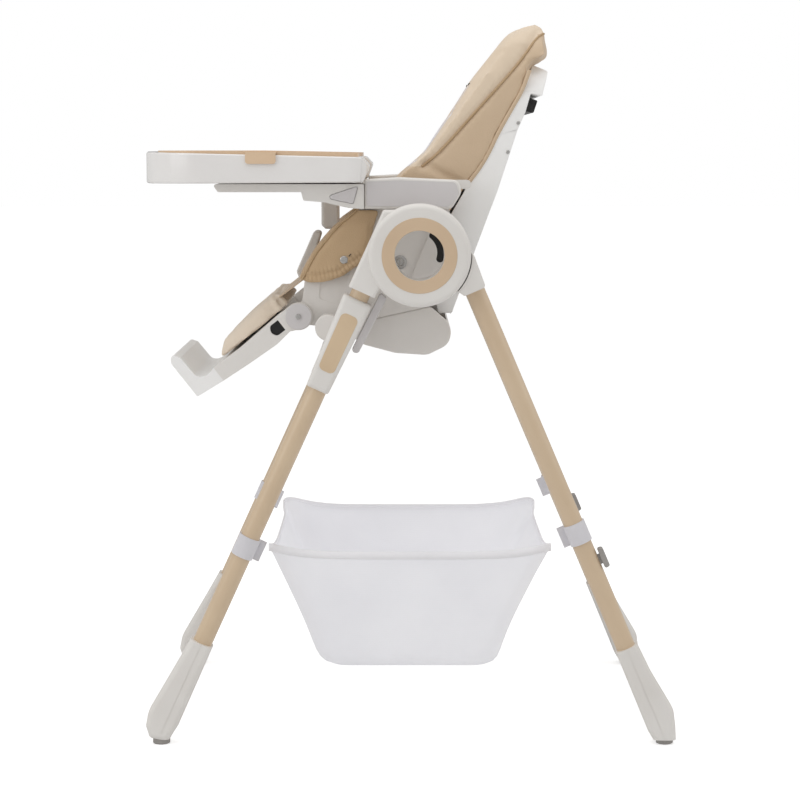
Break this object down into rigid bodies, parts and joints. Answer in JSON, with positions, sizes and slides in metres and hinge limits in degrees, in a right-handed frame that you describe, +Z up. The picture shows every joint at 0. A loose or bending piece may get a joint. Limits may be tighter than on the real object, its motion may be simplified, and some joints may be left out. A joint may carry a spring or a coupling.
{
  "type": "baby high chair",
  "caption": "Folding baby high chair with a reclining padded seat on two A-shaped legs, height-adjusting sliders, a removable tray, a tilting footrest and a storage basket.",
  "frame": {"origin": "middle of the footprint on the floor, the bottom centre of the whole chair's box", "axes": "+X is the seated child's left, the child faces -Y, +Z is up"},
  "size_m": [0.5812, 0.7825, 1.0443],
  "materials": {
    "frame_paint": "satin beige powder coat",
    "white_plastic": "fine moulded white",
    "beige_trim": "satin beige moulding",
    "tray_gloss": "glossy white moulding",
    "tray_insert": "satin cream moulding",
    "grey_plastic": "satin light grey",
    "dark_plastic": "satin black",
    "rubber": "matt dark rubber",
    "steel": "plated steel",
    "upholstery": "soft beige coated fabric with a fine grain",
    "webbing": "woven white tape",
    "basket_cloth": "thin white cloth"
  },
  "bodies": {
    "front_frame": {"front_tube_left": "frame_paint", "front_tube_right": "frame_paint", "front_hub_left": "white_plastic", "front_hub_right": "white_plastic", "front_foot_left": "white_plastic", "front_foot_right": "white_plastic", "hub_rings": "beige_trim", "hub_retainers": "white_plastic", "front_foot_pads": "rubber", "front_crossbar": "frame_paint", "front_straps": "webbing", "basket": "basket_cloth"},
    "rear_frame": {"rear_tube_left": "frame_paint", "rear_tube_right": "frame_paint", "rear_hub_left": "white_plastic", "rear_hub_right": "white_plastic", "rear_foot_left": "white_plastic", "rear_foot_right": "white_plastic", "rear_foot_pads": "rubber", "rear_crossbar": "frame_paint", "stand_bumpers": "rubber", "rear_straps": "webbing"},
    "seat": {"slider_left": "white_plastic", "slider_right": "white_plastic", "armrest_left": "grey_plastic", "armrest_right": "grey_plastic", "slider_inlays": "beige_trim", "seat_mounts": "white_plastic", "seat_tub": "white_plastic", "seat_base": "white_plastic", "recline_plates": "white_plastic", "recline_tracks": "dark_plastic", "seat_screws": "steel", "seat_pad": "upholstery", "side_wings": "upholstery", "wing_buttons": "steel", "front_guard": "white_plastic", "armrest_covers": "grey_plastic", "lap_harness": "webbing", "harness_buckle": "dark_plastic"},
    "trigger_left": {"height_trigger_left": "white_plastic"},
    "trigger_right": {"height_trigger_right": "white_plastic"},
    "backrest": {"backrest_shell": "white_plastic", "backrest_pad": "upholstery", "shoulder_harness": "webbing", "backrest_screws": "steel", "recline_pins": "steel"},
    "lever": {"recline_lever": "dark_plastic"},
    "footrest": {"calf_board": "white_plastic", "footrest_latches": "dark_plastic", "foot_plate": "white_plastic", "calf_pad": "upholstery", "footrest_caps": "white_plastic", "hinge_bolts": "steel"},
    "tray": {"tray_base": "white_plastic", "tray_top": "tray_gloss", "crotch_post": "white_plastic"},
    "food_tray": {"tray_insert": "tray_insert"},
    "button_left": {"tray_button_left": "grey_plastic"},
    "button_right": {"tray_button_right": "grey_plastic"}
  },
  "joints": [
    {"name": "rear_fold", "type": "hinge", "parent": "front_frame", "child": "rear_frame", "pos_m": [0, 0.0175, 0.712], "axis": [-1, 0, 0], "range_deg": [0, 47.6]},
    {"name": "seat_height", "type": "slide", "parent": "front_frame", "child": "seat", "axis": [0, 0.4147, 0.91], "range_m": [-0.2, 0]},
    {"name": "recline", "type": "hinge", "parent": "seat", "child": "backrest", "pos_m": [0, 0.0175, 0.712], "axis": [-1, 0, 0], "range_deg": [0, 40]},
    {"name": "lever_pull", "type": "slide", "parent": "backrest", "child": "lever", "axis": [0, 1, 0], "range_m": [0, 0.006], "stiffness_N_per_m": 900, "springref_m": -0.002},
    {"name": "footrest_tilt", "type": "hinge", "parent": "seat", "child": "footrest", "pos_m": [0, -0.157, 0.62], "axis": [-1, 0, 0], "range_deg": [-52, 30]},
    {"name": "tray_slide", "type": "slide", "parent": "seat", "child": "tray", "axis": [0, -1, 0], "range_m": [0, 0.06]},
    {"name": "insert_lift", "type": "slide", "parent": "tray", "child": "food_tray", "axis": [0, 0, 1], "range_m": [0, 0.08]},
    {"name": "button_left_press", "type": "slide", "parent": "tray", "child": "button_left", "axis": [-1, 0, 0], "range_m": [0, 0.003], "stiffness_N_per_m": 800, "springref_m": -0.001},
    {"name": "button_right_press", "type": "slide", "parent": "tray", "child": "button_right", "axis": [1, 0, 0], "range_m": [0, 0.003], "stiffness_N_per_m": 800, "springref_m": -0.001},
    {"name": "trigger_left_squeeze", "type": "hinge", "parent": "seat", "child": "trigger_left", "pos_m": [0.242, -0.0387, 0.6442], "axis": [1, 0, 0], "range_deg": [0, 8], "stiffness_Nm_per_rad": 1.2, "springref_deg": -2.86},
    {"name": "trigger_right_squeeze", "type": "hinge", "parent": "seat", "child": "trigger_right", "pos_m": [-0.242, -0.0387, 0.6442], "axis": [1, 0, 0], "range_deg": [0, 8], "stiffness_Nm_per_rad": 1.2, "springref_deg": -2.86}
  ]
}
